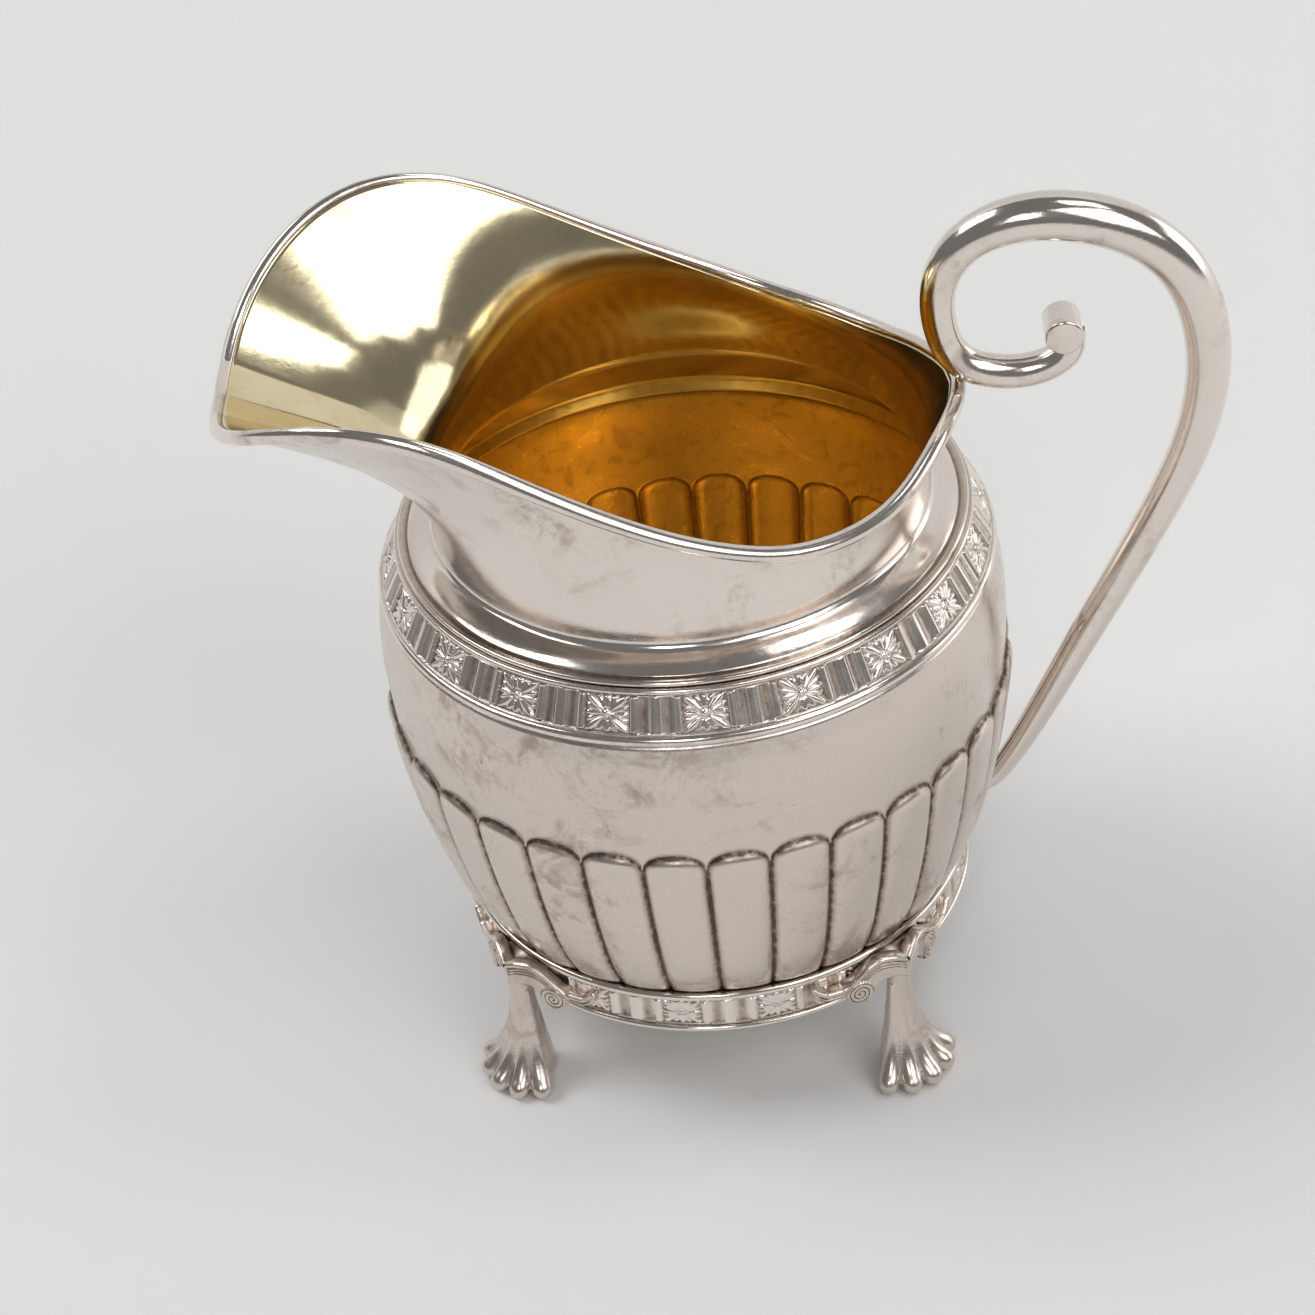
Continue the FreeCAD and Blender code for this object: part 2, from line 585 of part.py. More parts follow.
nodes = {
    "bowl": bowl, "neck": neck, "rim_wire": rim, "shoulder_bead_lower": bead_low,
    "shoulder_band": band, "shoulder_bead_middle": bead_mid, "shoulder_bead_top": bead_top,
    "base_wire": wire_base, "base_band": base_band, "base_bead": bead_base,
    "handle": handle, "scroll_eye": eye}
for k in range(foot_count):
    nodes["paw_%d" % (k + 1)] = paws[k]
    nodes["bracket_%d" % (k + 1)] = brackets[k]

# ---- common frame: origin under the middle of the jug ----
box = Part.makeCompound(list(nodes.values())).optimalBoundingBox(False)
shift = Vector(-0.5 * (box.XMin + box.XMax), 0, 0)
os.makedirs("parts", exist_ok=True)
for name, shape in nodes.items():
    shape.translate(shift)
    shape.exportStep("parts/%s.step" % name)
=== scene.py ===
import math

import bpy
import numpy as np
from mathutils import Matrix, Vector


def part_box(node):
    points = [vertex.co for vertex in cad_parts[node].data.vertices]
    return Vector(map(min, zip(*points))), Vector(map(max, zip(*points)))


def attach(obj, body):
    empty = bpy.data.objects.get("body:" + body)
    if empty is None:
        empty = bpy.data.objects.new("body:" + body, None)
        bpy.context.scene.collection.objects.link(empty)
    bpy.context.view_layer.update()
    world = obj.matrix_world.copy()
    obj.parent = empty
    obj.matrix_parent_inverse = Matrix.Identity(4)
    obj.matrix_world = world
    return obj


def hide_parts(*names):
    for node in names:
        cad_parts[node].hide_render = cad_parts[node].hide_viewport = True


# Looks of the silver cream jug. Shapes are worked out in millimetres about the body's axis,
# with the table at height 0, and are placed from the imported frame.

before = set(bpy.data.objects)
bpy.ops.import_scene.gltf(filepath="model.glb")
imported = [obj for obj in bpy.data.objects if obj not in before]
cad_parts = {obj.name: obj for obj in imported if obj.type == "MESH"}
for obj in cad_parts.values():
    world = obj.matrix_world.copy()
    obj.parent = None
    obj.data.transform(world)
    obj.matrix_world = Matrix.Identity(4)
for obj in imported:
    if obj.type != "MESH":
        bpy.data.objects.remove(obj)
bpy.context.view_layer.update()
MM = 0.001


def node_span(node):
    """Lowest and highest corner of a CAD node in millimetres."""
    low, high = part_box(node)
    return low / MM, high / MM


bowl_low, bowl_high = node_span("bowl")
AXIS_X = 0.5 * (bowl_low.x + bowl_high.x)
SEAM_Z = bowl_high.z
RING_LOW = node_span("base_wire")[0].z
RING_TOP = node_span("base_bead")[1].z
BAND_LOW, BAND_HIGH = (corner.z for corner in node_span("shoulder_band"))
BAND_TOP = node_span("shoulder_bead_top")[1].z

# Sizes in millimetres, as in the CAD model, and turns in degrees.
WALL = 0.7                       # sheet of bowl and neck
LOBES = 32
LOBE_RISE = 1.15                 # height of a lobe above its grooves
LOBE_ROUND = 2.8                 # apex of a lobe above the cusps
LOBE_TURN = -4.9
CROWN_Z = RING_LOW + 34.7        # cusps between the lobe tops
BELLY_R = 42.3
BAND_R = 41.0                    # shoulder band at its lower edge
BAND_LEAN = 2.5                  # how far the band leans in over its height
LAP_R = 39.9                     # lap joint of neck sheet and bowl
STRIP_IN = LAP_R - BAND_LEAN     # back of the band at its upper edge
SHOULDER_R = STRIP_IN - 0.34 * BAND_LEAN
SHOULDER_TURN = 3.4
NECK_R = 32.9
NECK_Z = SEAM_Z + 11.5           # narrowest part of the neck
MOUTH_R = 33.4                   # half the width of the mouth
LIP_LOW = SEAM_Z + 19.2
LIP_HIGH = SEAM_Z + 42.8
RING_R = 35.6                    # base ring over its rosettes
FOOT_R = 34.6                    # seat of the base ring on the bowl
BASE_TURN = 7.2
RING_MID = RING_LOW + 0.55 * (RING_TOP - RING_LOW)
KNEE_R = 38.9                    # crease of a bracket
PAW_R = 36.4                     # middle of a paw
FOOT_TURN = -4.0
SHOULDER_RELIEF = 0.5            # depth of the milled patterns
BASE_RELIEF = 0.45


# ---- helpers for shapes ----
def smooth_table(table, value):
    """Smooth reading of a table of (key, value) pairs; value may be an array."""
    keys = np.array([row[0] for row in table], float)
    vals = np.array([row[1] for row in table], float)
    step = np.diff(vals) / np.diff(keys)
    pair = step[:-1] * step[1:]
    total = step[:-1] + step[1:]
    inner = np.where(pair > 0, 2.0 * pair / np.where(pair > 0, total, 1.0), 0.0)
    slope = np.concatenate([[step[0]], inner, [step[-1]]])
    x = np.clip(np.asarray(value, float), keys[0], keys[-1])
    i = np.clip(np.searchsorted(keys, x, side="right") - 1, 0, len(keys) - 2)
    gap = keys[i + 1] - keys[i]
    t = (x - keys[i]) / gap
    return ((2 * t ** 3 - 3 * t ** 2 + 1) * vals[i] + (t ** 3 - 2 * t ** 2 + t) * gap * slope[i]
            + (3 * t ** 2 - 2 * t ** 3) * vals[i + 1] + (t ** 3 - t ** 2) * gap * slope[i + 1])


def grid_faces(rows, columns, wrap_rows=False, wrap_columns=False):
    """Quads of a grid whose vertices are numbered row by row."""
    i = np.arange(rows if wrap_rows else rows - 1)
    j = np.arange(columns if wrap_columns else columns - 1)
    i, j = np.meshgrid(i, j, indexing="ij")
    up, right = (i + 1) % rows, (j + 1) % columns
    quads = np.stack([i * columns + j, i * columns + right, up * columns + right, up * columns + j], -1)
    return quads.reshape(-1, 4)


def new_mesh(name, points, faces):
    """Object from points in millimetres about the body's axis."""
    mesh = bpy.data.meshes.new(name)
    world = np.asarray(points, float).reshape(-1, 3) * MM
    world[:, 0] += AXIS_X * MM
    mesh.from_pydata(world.tolist(), [], [list(map(int, face)) for face in faces])
    mesh.update()
    mesh.polygons.foreach_set("use_smooth", [True] * len(mesh.polygons))
    piece = bpy.data.objects.new(name, mesh)
    bpy.context.scene.collection.objects.link(piece)
    return piece


def add_values(piece, name, values):
    """Stores one number per vertex, for the materials."""
    layer = piece.data.attributes.new(name, "FLOAT", "POINT")
    layer.data.foreach_set("value", np.asarray(values, np.float32).ravel())


def joined(parts):
    """Points and faces of several meshes as one."""
    points, faces, start = [], [], 0
    for part, part_faces in parts:
        points.append(part)
        faces += [[start + int(v) for v in face] for face in part_faces]
        start += len(part)
    return np.concatenate(points), faces


def mark_hollows(piece, reach, passes):
    """Stores how hollow the surface is at each vertex, from 0 (flat or proud) to 1."""
    mesh = piece.data
    count = len(mesh.vertices)
    place = np.zeros(count * 3)
    mesh.vertices.foreach_get("co", place)
    place = place.reshape(-1, 3)
    normal = np.zeros(count * 3, np.float32)
    mesh.vertices.foreach_get("normal", normal)
    normal = normal.reshape(-1, 3)
    edges = np.zeros(len(mesh.edges) * 2, np.int32)
    mesh.edges.foreach_get("vertices", edges)
    edges = edges.reshape(-1, 2)
    a, b = edges[:, 0], edges[:, 1]
    links = np.maximum(np.bincount(a, minlength=count) + np.bincount(b, minlength=count), 1)

    def around(values):
        total = np.bincount(a, values[b], count) + np.bincount(b, values[a], count)
        return total / links

    mean = np.stack([around(place[:, k]) for k in range(3)], -1)
    length = np.linalg.norm(place[a] - place[b], axis=1)
    size = (np.bincount(a, length, count) + np.bincount(b, length, count)) / links
    bend = ((mean - place) * normal).sum(1) / np.maximum(size, 1e-7) ** 2 * reach
    for _ in range(passes):
        bend = 0.5 * bend + 0.5 * around(bend)
    add_values(piece, "groove", np.clip(bend, 0.0, 1.0))


def revolve_grid(profile, columns, lift=None):
    """Grid turned about the axis from rows of (radius, height); lift(angles, row) adds radius."""
    angles = 2.0 * math.pi * np.arange(columns) / columns
    rows = []
    for k, (radius, height) in enumerate(profile):
        r = np.full(columns, float(radius))
        if lift is not None:
            r = r + lift(angles, k)
        rows.append(np.stack([r * np.cos(angles), r * np.sin(angles), np.full(columns, float(height))], -1))
    return np.array(rows)


def ring_piece(name, profile, columns):
    """Closed ring with the given section, listed anticlockwise seen with the axis to the left."""
    grid = revolve_grid(profile, columns)
    return new_mesh(name, grid, grid_faces(len(profile), columns, wrap_rows=True, wrap_columns=True))


def half_round(r_in, r_out, low, high, lean=0.0, steps=14):
    """Section of a wire with a flat, perhaps leaning, back and a rounded front."""
    reach = 0.5 * (high - low)
    middle = 0.5 * (high + low)
    section = []
    for k in range(steps + 1):
        turn = -0.5 * math.pi + math.pi * k / steps
        section.append((r_out - reach + reach * math.cos(turn), middle + reach * math.sin(turn)))
    back = [(r_in - lean, high), (r_in - 0.5 * lean, middle), (r_in, low)]
    return section + back


# ---- bowl ----
def bowl_radius(z):
    """Outside radius of the bowl in the grooves between the lobes."""
    grow = BELLY_R - FOOT_R
    rise = SEAM_Z - RING_LOW
    table = [(RING_TOP, FOOT_R), (RING_TOP + 0.115 * rise, FOOT_R + 0.36 * grow),
             (RING_TOP + 0.25 * rise, FOOT_R + 0.62 * grow), (RING_TOP + 0.37 * rise, FOOT_R + 0.79 * grow),
             (RING_TOP + 0.50 * rise, FOOT_R + 0.92 * grow), (RING_TOP + 0.60 * rise, FOOT_R + 0.975 * grow),
             (RING_TOP + 0.70 * rise, BELLY_R), (RING_TOP + 0.79 * rise, BELLY_R - 0.32),
             (SEAM_Z, BAND_R - 0.1)]
    return smooth_table(table, z)


def lobe_crown(u):
    """Height of a lobe's top edge at u (-1..1 across it)."""
    return CROWN_Z + LOBE_ROUND * np.maximum(1e-3, 1.0 - np.abs(u) ** 2.6) ** 0.5


def lobe_edge(u, z):
    """Distance in from a lobe's outline at u (-1..1 across it) and height z; 0 outside it."""
    u = np.abs(u)
    half = math.pi * bowl_radius(z) / LOBES
    slope = LOBE_ROUND * 1.3 * u ** 1.6 / np.maximum(1e-3, 1.0 - u ** 2.6) ** 0.5 / half
    top = (lobe_crown(u) - z) / np.hypot(1.0, slope)
    sides = (top, (1.0 - u) * half, z - RING_TOP + 0.0 * u)
    return sum(np.maximum(side, 1e-4) ** -4.0 for side in sides) ** -0.25


def lobe_height(u, z):
    """Height of a lobe: a soft edge all round a slightly crowned pillow."""
    edge = np.clip(lobe_edge(u, z) / 1.9, 0.0, 1.0)
    pillow = 0.72 + 0.28 * (1.0 - np.abs(u) ** 2)
    return LOBE_RISE * pillow * (1.0 - (1.0 - edge) ** 2.2) ** 0.65


def lobe_phase(angles):
    """Place across the lobe (-1..1) at angles round the axis."""
    return (((angles - math.radians(LOBE_TURN)) / (2 * math.pi / LOBES) + 0.5) % 1.0) * 2.0 - 1.0


def make_bowl():
    """Bowl as one skin: underside, lobed outside, lip, lobed inside and the cup of the bottom."""
    columns = LOBES * 32
    tail_rows = np.linspace(RING_TOP, RING_TOP + 2.0, 9)
    low_rows = np.concatenate([tail_rows, np.arange(RING_TOP + 2.8, CROWN_Z - 3, 0.9)])
    crown_rows = np.arange(CROWN_Z - 2.6, CROWN_Z + LOBE_ROUND + 0.4, 0.24)
    belly_rows = np.linspace(CROWN_Z + LOBE_ROUND + 0.9, SEAM_Z - 0.02, 26)
    heights = np.concatenate([low_rows, crown_rows, belly_rows])
    floor = RING_LOW + 3.2
    under = [(0.02, floor), (12.0, floor), (24.0, floor), (FOOT_R - 6.2, floor + 0.05),
             (FOOT_R - 4.4, floor + 0.4), (FOOT_R - 2.4, floor + 1.1), (FOOT_R - 0.9, floor + 1.9),
             (FOOT_R - 0.05, RING_TOP - 0.6)]
    outer = [(float(bowl_radius(z)), z) for z in heights]
    lip = [(LAP_R + 0.1, SEAM_Z), (LAP_R, SEAM_Z - 0.05), (LAP_R, SEAM_Z - 1.7)]
    inner = [(float(bowl_radius(z)) - WALL - 0.25 * max(0.0, (z - SEAM_Z + 7.0) / 7.0), z)
             for z in heights[::-1] if z < SEAM_Z - 2.2]
    cup = [(FOOT_R - 1.4, RING_TOP - 1.2), (FOOT_R - 2.9, floor + 1.9), (FOOT_R - 5.2, floor + 1.05),
           (FOOT_R - 8.0, floor + 0.72), (20.0, floor + WALL), (10.0, floor + WALL), (0.02, floor + WALL)]
    profile = under + outer + lip + inner + cup
    first, last = len(under), len(under) + len(outer)
    inner_first = last + len(lip)
    inner_last = inner_first + len(inner)

    def lift(angles, k):
        if first <= k < last or inner_first <= k < inner_last:
            return lobe_height(lobe_phase(angles), profile[k][1])
        return np.zeros_like(angles)

    grid = revolve_grid(profile, columns, lift)
    bowl = new_mesh("bowl_lobed", grid, grid_faces(len(profile), columns, wrap_columns=True))
    phase = lobe_phase(2.0 * math.pi * np.arange(columns) / columns)
    z = np.array([row[1] for row in profile])[:, None]
    crown = lobe_crown(phase)[None]
    groove = np.exp(-(lobe_edge(phase[None], z) / 0.55) ** 1.5)
    groove = np.where(z < crown, groove, 0.0)
    over = 0.85 * np.exp(-(np.abs(z - crown) / 0.45) ** 1.4)
    foot = np.exp(-np.clip(z - RING_TOP, 0, None) / 0.8)
    on_lobes = (np.arange(len(profile)) >= first) & (np.arange(len(profile)) < inner_last)
    add_values(bowl, "groove", np.maximum(np.maximum(groove, over), foot) * on_lobes[:, None])
    return bowl, np.arange(len(profile)) >= last + 1, columns


# ---- neck sheet, lip and rim wire ----
# The lip's edge by degrees from the handle: how far it stands out beyond the mouth, the share of its
# height between LIP_LOW and LIP_HIGH, and the lean of the sheet from level.
SIDE = [(0.0, 4.0), (20.0, 1.15), (40.0, 0.3), (60.0, -0.4), (80.0, -1.1), (95.0, -0.75), (110.0, 1.0),
        (122.0, 4.1), (134.0, 9.0), (146.0, 16.4), (158.0, 22.6), (169.0, 24.05), (180.0, 23.7)]
HEIGHT = [(0.0, 0.19), (20.0, 0.096), (40.0, -0.015), (60.0, 0.011), (80.0, 0.161), (95.0, 0.326),
          (110.0, 0.532), (122.0, 0.735), (134.0, 0.954), (146.0, 1.008), (158.0, 0.766),
          (169.0, 0.555), (180.0, 0.371)]
LEAN = [(0.0, 62.0), (41.0, 74.0), (77.0, 80.0), (96.0, 76.0), (112.0, 68.0), (126.0, 59.0),
        (137.0, 50.0), (146.0, 43.0), (155.0, 36.0), (165.0, 30.0), (180.0, 26.0)]


def around_lip(table, degrees):
    """Softened reading of a table that runs from the handle (0) to the spout (180)."""
    total = 0.0
    for step, weight in ((-2, 1.0), (-1, 4.0), (0, 6.0), (1, 4.0), (2, 1.0)):
        place = (np.asarray(degrees, float) + 6.0 * step + 180.0) % 360.0 - 180.0
        total = total + weight / 16.0 * smooth_table(table, np.abs(place))
    return total


def rim_at(degrees):
    """Radius, height and lean of the lip's edge at an angle from the handle."""
    out = around_lip(SIDE, degrees)
    height = LIP_LOW + (LIP_HIGH - LIP_LOW) * around_lip(HEIGHT, degrees)
    return MOUTH_R + out, height, np.radians(around_lip(LEAN, degrees))


def lip_grid(degrees, inset, steps):
    """Rows of the neck from its waist to its edge, as a smooth flare in each upright plane."""
    radius, height, lean = rim_at(degrees)
    tip = np.stack([radius - inset * np.sin(lean), height + inset * np.cos(lean)])
    root = np.stack([np.full_like(radius, NECK_R - inset), np.full_like(radius, NECK_Z)])
    span = np.hypot(*(tip - root))
    low = root + np.stack([np.zeros_like(span), 0.30 * span])
    high = tip - 0.42 * span * np.stack([np.cos(lean), np.sin(lean)])
    angles = np.radians(degrees)
    rows = []
    for k in range(1, steps + 1):
        t = k / steps
        r, z = (1 - t) ** 3 * root + 3 * t * (1 - t) ** 2 * low + 3 * t * t * (1 - t) * high + t ** 3 * tip
        rows.append(np.stack([r * np.cos(angles), r * np.sin(angles), z], -1))
    return rows


def square_offset(points, inset):
    """Section moved square to itself, towards the inside of the jug."""
    points = np.asarray(points, float)
    run = np.gradient(points, axis=0)
    run /= np.linalg.norm(run, axis=1)[:, None]
    return points + inset * np.stack([-run[:, 1], run[:, 0]], -1)


def neck_section():
    """Outside of the neck sheet from its foot inside the bowl to the foot of the lip."""
    shape = [(0.0, 1.0), (0.11, 0.85), (0.23, 0.62), (0.32, 0.40), (0.40, 0.20), (0.50, 0.07),
             (0.64, 0.0), (0.82, 0.0), (1.0, 0.0)]
    rows = [(LAP_R, z) for z in np.linspace(SEAM_Z - 1.4, BAND_LOW, 6)]
    for share in np.linspace(0.1, 1.0, 10):
        rows.append((LAP_R + (STRIP_IN - LAP_R) * share, BAND_LOW + (BAND_HIGH - BAND_LOW) * share))
    for share in np.linspace(0.25, 0.75, 3):
        rows.append((STRIP_IN + (SHOULDER_R - STRIP_IN) * share, BAND_HIGH + (BAND_TOP - BAND_HIGH) * share))
    ends = np.array([(NECK_R + (SHOULDER_R - NECK_R) * a, BAND_TOP + (NECK_Z - BAND_TOP) * b)
                     for b, a in shape])
    rows += [tuple(row) for row in spline_points(ends, 44)]
    return np.array(rows)


def spline_points(poles, count):
    """Points of a clamped cubic B-spline with evenly spaced knots."""
    poles = np.asarray(poles, float)
    spans = len(poles) - 3
    knots = np.concatenate([[0.0] * 3, np.arange(spans + 1), [spans] * 3])
    found = []
    for t in np.linspace(0.0, spans, count):
        k = min(int(t), spans - 1) + 3
        work = [poles[k - 3 + j] for j in range(4)]
        for level in range(1, 4):
            for j in range(3, level - 1, -1):
                i = k - 3 + j
                share = (t - knots[i]) / (knots[i + 4 - level] - knots[i])
                work[j] = (1.0 - share) * work[j - 1] + share * work[j]
        found.append(work[3])
    return np.array(found)


def make_neck():
    """Neck sheet as one closed skin: outside from tail to edge, then the inside back down."""
    columns = 480
    degrees = 360.0 * np.arange(columns) / columns
    outside = neck_section()
    inside = square_offset(outside, WALL)[::-1]
    rows = list(revolve_grid(outside, columns))
    rows += lip_grid(degrees, 0.0, 72)
    edge = len(rows)
    rows += lip_grid(degrees, WALL, 72)[::-1]
    rows += list(revolve_grid(inside, columns))
    neck = new_mesh("neck_and_lip", rows, grid_faces(len(rows), columns, wrap_rows=True, wrap_columns=True))
    z = np.array([row[:, 2] for row in rows])
    crease = np.exp(-np.abs(z - BAND_TOP) / 0.35) * (np.arange(len(rows)) < edge)[:, None]
    add_values(neck, "groove", 0.35 * crease)
    return neck, np.arange(len(rows)) >= edge, columns


def make_rim():
    """Rounded wire that sits on the sheet's edge."""
    section = [(0.0, 0.0), (0.10, 0.35), (0.05, 0.85), (-0.20, 1.25), (-0.70, 1.48), (-1.30, 1.42),
               (-1.82, 1.08), (-2.12, 0.50), (-2.02, -0.10), (-1.62, -0.42), (-1.15, -0.38), (-0.78, -0.05)]
    columns = 720
    degrees = 360.0 * np.arange(columns) / columns
    angles = np.radians(degrees)
    radius, height, lean = rim_at(degrees)
    ends = np.array(section + section[:1])
    marks = np.arange(len(ends)) * 1.0
    rows = []
    for share in np.linspace(0, len(section), 4 * len(section), endpoint=False):
        a, b = (np.interp(share, marks, ends[:, k]) for k in range(2))
        rows.append((a, b))
    rows = np.array(rows)
    for _ in range(4):
        rows = 0.5 * rows + 0.25 * (np.roll(rows, 1, 0) + np.roll(rows, -1, 0))
    grid = []
    for a, b in rows:
        normal = WALL + a
        r = radius - normal * np.sin(lean) + b * np.cos(lean)
        z = height + normal * np.cos(lean) + b * np.sin(lean)
        grid.append(np.stack([r * np.cos(angles), r * np.sin(angles), z], -1))
    faces = grid_faces(len(rows), columns, wrap_rows=True, wrap_columns=True)
    return new_mesh("rim_moulding", grid, faces[:, ::-1])


# ---- milled bands ----
PETALS = 16


def rosette(x, y, half_x, half_y):
    """Relief (0..1) of a square flower with eight long and eight short petals."""
    px, py = x / half_x, y / half_y
    angle = np.arctan2(py, px)
    square = np.maximum(np.abs(px), np.abs(py))
    reach = np.hypot(px, py) / np.maximum(square, 1e-6)
    radius = np.hypot(px, py)
    petals = np.zeros_like(x)
    for k in range(PETALS):
        centre = 2 * math.pi * k / PETALS
        off = np.abs((angle - centre + math.pi) % (2 * math.pi) - math.pi)
        longest = 0.97 if k % 2 == 0 else 0.93
        limit = longest * reach
        share = np.clip((radius - 0.16) / np.maximum(limit - 0.16, 1e-6), 0.0, 1.0)
        swell = 0.35 + 0.95 * np.sin(math.pi * np.clip(share, 0, 1) ** 0.8) ** 0.7
        width = (0.20 if k % 2 == 0 else 0.17) * swell
        bulge = np.clip(1.0 - (off / width) ** 2, 0.0, 1.0) ** 0.5
        body = bulge * np.clip((1.0 - share) * 6.0, 0.0, 1.0) ** 0.5 * (radius > 0.12)
        petals = np.maximum(petals, body * (0.9 if k % 2 == 0 else 0.66))
    boss = np.sqrt(np.clip(1.0 - (radius / 0.20) ** 2, 0.0, 1.0))
    inside = np.clip((0.985 - square) * 30.0, 0.0, 1.0)
    return np.maximum(petals * 0.85, boss) * inside


def flutes(x, y, half_x, half_y):
    """Relief (0..1) of the panel between flowers: a bar at each end and in the middle, flutes between."""
    px, py = np.abs(x) / half_x, np.abs(y) / half_y
    bar = np.clip(1.0 - ((px - 0.86) / 0.13) ** 4, 0.0, 1.0) ** 0.5
    middle = np.clip(1.0 - (px / 0.19) ** 4, 0.0, 1.0) ** 0.5
    hollow = 1.0 - np.clip(1.0 - ((px - 0.46) / 0.27) ** 2, 0.0, 1.0) ** 0.5
    field = np.where(px < 0.73, np.maximum(hollow * 0.9, middle), bar)
    ends = np.clip((0.93 - py) * 14.0, 0.0, 1.0)
    return np.where(px < 0.73, np.where(py > 0.93, 0.85, field), field * ends)


def milled_grid(r_in, face, low, high, lean, repeats, relief, per_repeat, rows, turn, flower_share):
    """Front of a milled strip as a relief, closed behind by a plain back."""
    columns = repeats * per_repeat
    angles = 2.0 * math.pi * np.arange(columns) / columns + math.radians(turn)
    pitch = 2.0 * math.pi * (face - 0.5 * lean) / repeats
    across = ((np.arange(columns) / per_repeat + 0.5) % 1.0 - 0.5) * pitch
    height = math.hypot(high - low, lean)
    tilt = math.atan2(lean, high - low)
    half_y = 0.5 * height
    square = 0.5 * flower_share * pitch
    panel = 0.5 * pitch - square
    grid, relief_rows = [], []
    for share in np.linspace(-1.0, 1.0, rows):
        y = np.full(columns, share * half_y)
        flower = rosette(across, y, square, 0.94 * half_y)
        beside = np.where(across > 0, across - 0.5 * pitch, across + 0.5 * pitch)
        cut = np.where(np.abs(across) < square, flower, flutes(beside, y, panel, 0.95 * half_y))
        edge_line = np.clip((abs(share) - 0.955) * 40.0, 0.0, 1.0)
        cut = np.maximum(cut * (abs(share) < 0.955), edge_line * 0.7)
        up = 0.5 * (share + 1.0)
        r = face - relief - lean * up + relief * cut * math.cos(tilt)
        z = low + (high - low) * up + relief * cut * math.sin(tilt) * (abs(share) < 0.97)
        grid.append(np.stack([r * np.cos(angles), r * np.sin(angles), z], -1))
        relief_rows.append(cut)
    for up in (1.0, 0.5, 0.0):
        r = r_in - lean * up
        z = np.full(columns, low + (high - low) * up)
        grid.append(np.stack([r * np.cos(angles), r * np.sin(angles), z], -1))
        relief_rows.append(np.ones(columns))
    return np.array(grid), np.array(relief_rows), columns


def make_band(name, *sizes):
    """Milled strip with dirt in its hollows."""
    grid, relief, columns = milled_grid(*sizes)
    band = new_mesh(name, grid, grid_faces(len(grid), columns, wrap_rows=True, wrap_columns=True))
    add_values(band, "groove", 0.62 * np.clip(1.0 - relief * 1.25, 0.0, 1.0) ** 2.2)
    return band


# ---- handle ----
HANDLE_REACH = 69.5              # body axis to the outermost point of the centreline
HANDLE_TOP = 118.4               # table to the top of the centreline
END_R, END_Z = (float(size) for size in rim_at(0.0)[:2])
ROOT_Z = RING_TOP + 3.3
ROOT_R = float(bowl_radius(ROOT_Z)) + LOBE_RISE
REST_Z = END_Z + 2.6             # where the scroll's underside rests on the rim
REACH = (HANDLE_REACH - ROOT_R) / (69.5 - 36.6)


def bow(x, z, r):
    """Pole of the handle below the rim: bows out from the root."""
    return ROOT_R + (x - 36.6) * REACH, ROOT_Z + (z - 26.2) * (END_Z - ROOT_Z) / (94.1 - 26.2), r


def loop(x, z, r):
    """Pole of the handle above the rim: stays on the end of the rim."""
    side = END_R + (x - 36.2) * (ROOT_R + 32.9 * REACH - END_R) / 33.3
    return side, END_Z + (z - 94.1) * (HANDLE_TOP - END_Z) / (118.4 - 94.1), r


HANDLE = [
    (ROOT_R - 1.98, ROOT_Z, 1.35), (ROOT_R + 0.22, ROOT_Z, 1.35),
    bow(38.4, 26.5, 1.4), bow(40.4, 28.6, 1.5), bow(44.9, 36.3, 1.85), bow(51.3, 49.3, 2.15),
    bow(57.6, 61.3, 2.3), bow(62.2, 70.4, 2.4), bow(66.3, 79.3, 2.55), bow(68.9, 88.0, 2.75),
    loop(69.6, 97.6, 2.95), loop(67.2, 107.8, 3.1), loop(61.3, 114.6, 3.2), loop(53.5, 118.0, 3.3),
    loop(45.4, 118.8, 3.1), loop(38.2, 116.2, 2.7), loop(34.4, 110.6, 2.35), loop(34.2, 103.9, 2.2),
    (END_R - 0.2, REST_Z + 1.25, 2.2), (END_R + 3.9, REST_Z - 0.85, 2.25),
    loop(45.0, 95.1, 2.25), loop(49.9, 96.5, 2.15), loop(51.7, 98.8, 2.0), loop(51.4, 101.2, 1.8)]
EYE_X, EYE_Z = loop(50.4, 101.6, 2.0)[:2]
EYE_R, EYE_LENGTH = 2.45, 5.4


def rod_grid(path, steps, sides):
    """Rings round a line in the upright plane y = 0 with its own radius at each point."""
    line = spline_points(path, steps)
    run = np.gradient(line[:, :2], axis=0)
    run /= np.linalg.norm(run, axis=1)[:, None]
    side = np.stack([-run[:, 1], run[:, 0]], -1)
    turn = 2.0 * math.pi * np.arange(sides) / sides
    rows = []
    for (x, z, r), (nx, nz) in zip(line, side):
        rows.append(np.stack([x + r * np.cos(turn) * nx, r * np.sin(turn), z + r * np.cos(turn) * nz], -1))
    return np.array(rows)


def capped(grid, faces):
    """Adds flat fans over the two ends of a tube."""
    rows, sides = grid.shape[:2]
    points = np.concatenate([grid.reshape(-1, 3), [grid[0].mean(0)], [grid[-1].mean(0)]])
    first, last = rows * sides, rows * sides + 1
    fans = []
    for j in range(sides):
        fans.append((first, (j + 1) % sides, j))
        fans.append((last, (rows - 1) * sides + j, (rows - 1) * sides + (j + 1) % sides))
    return points, [list(face) for face in faces] + fans


def make_rod(name, path, steps, sides):
    """Closed round rod along poles of (out, up, radius)."""
    grid = rod_grid(path, steps, sides)
    points, faces = capped(grid, grid_faces(steps, sides, wrap_columns=True)[:, ::-1])
    return new_mesh(name, points, faces)


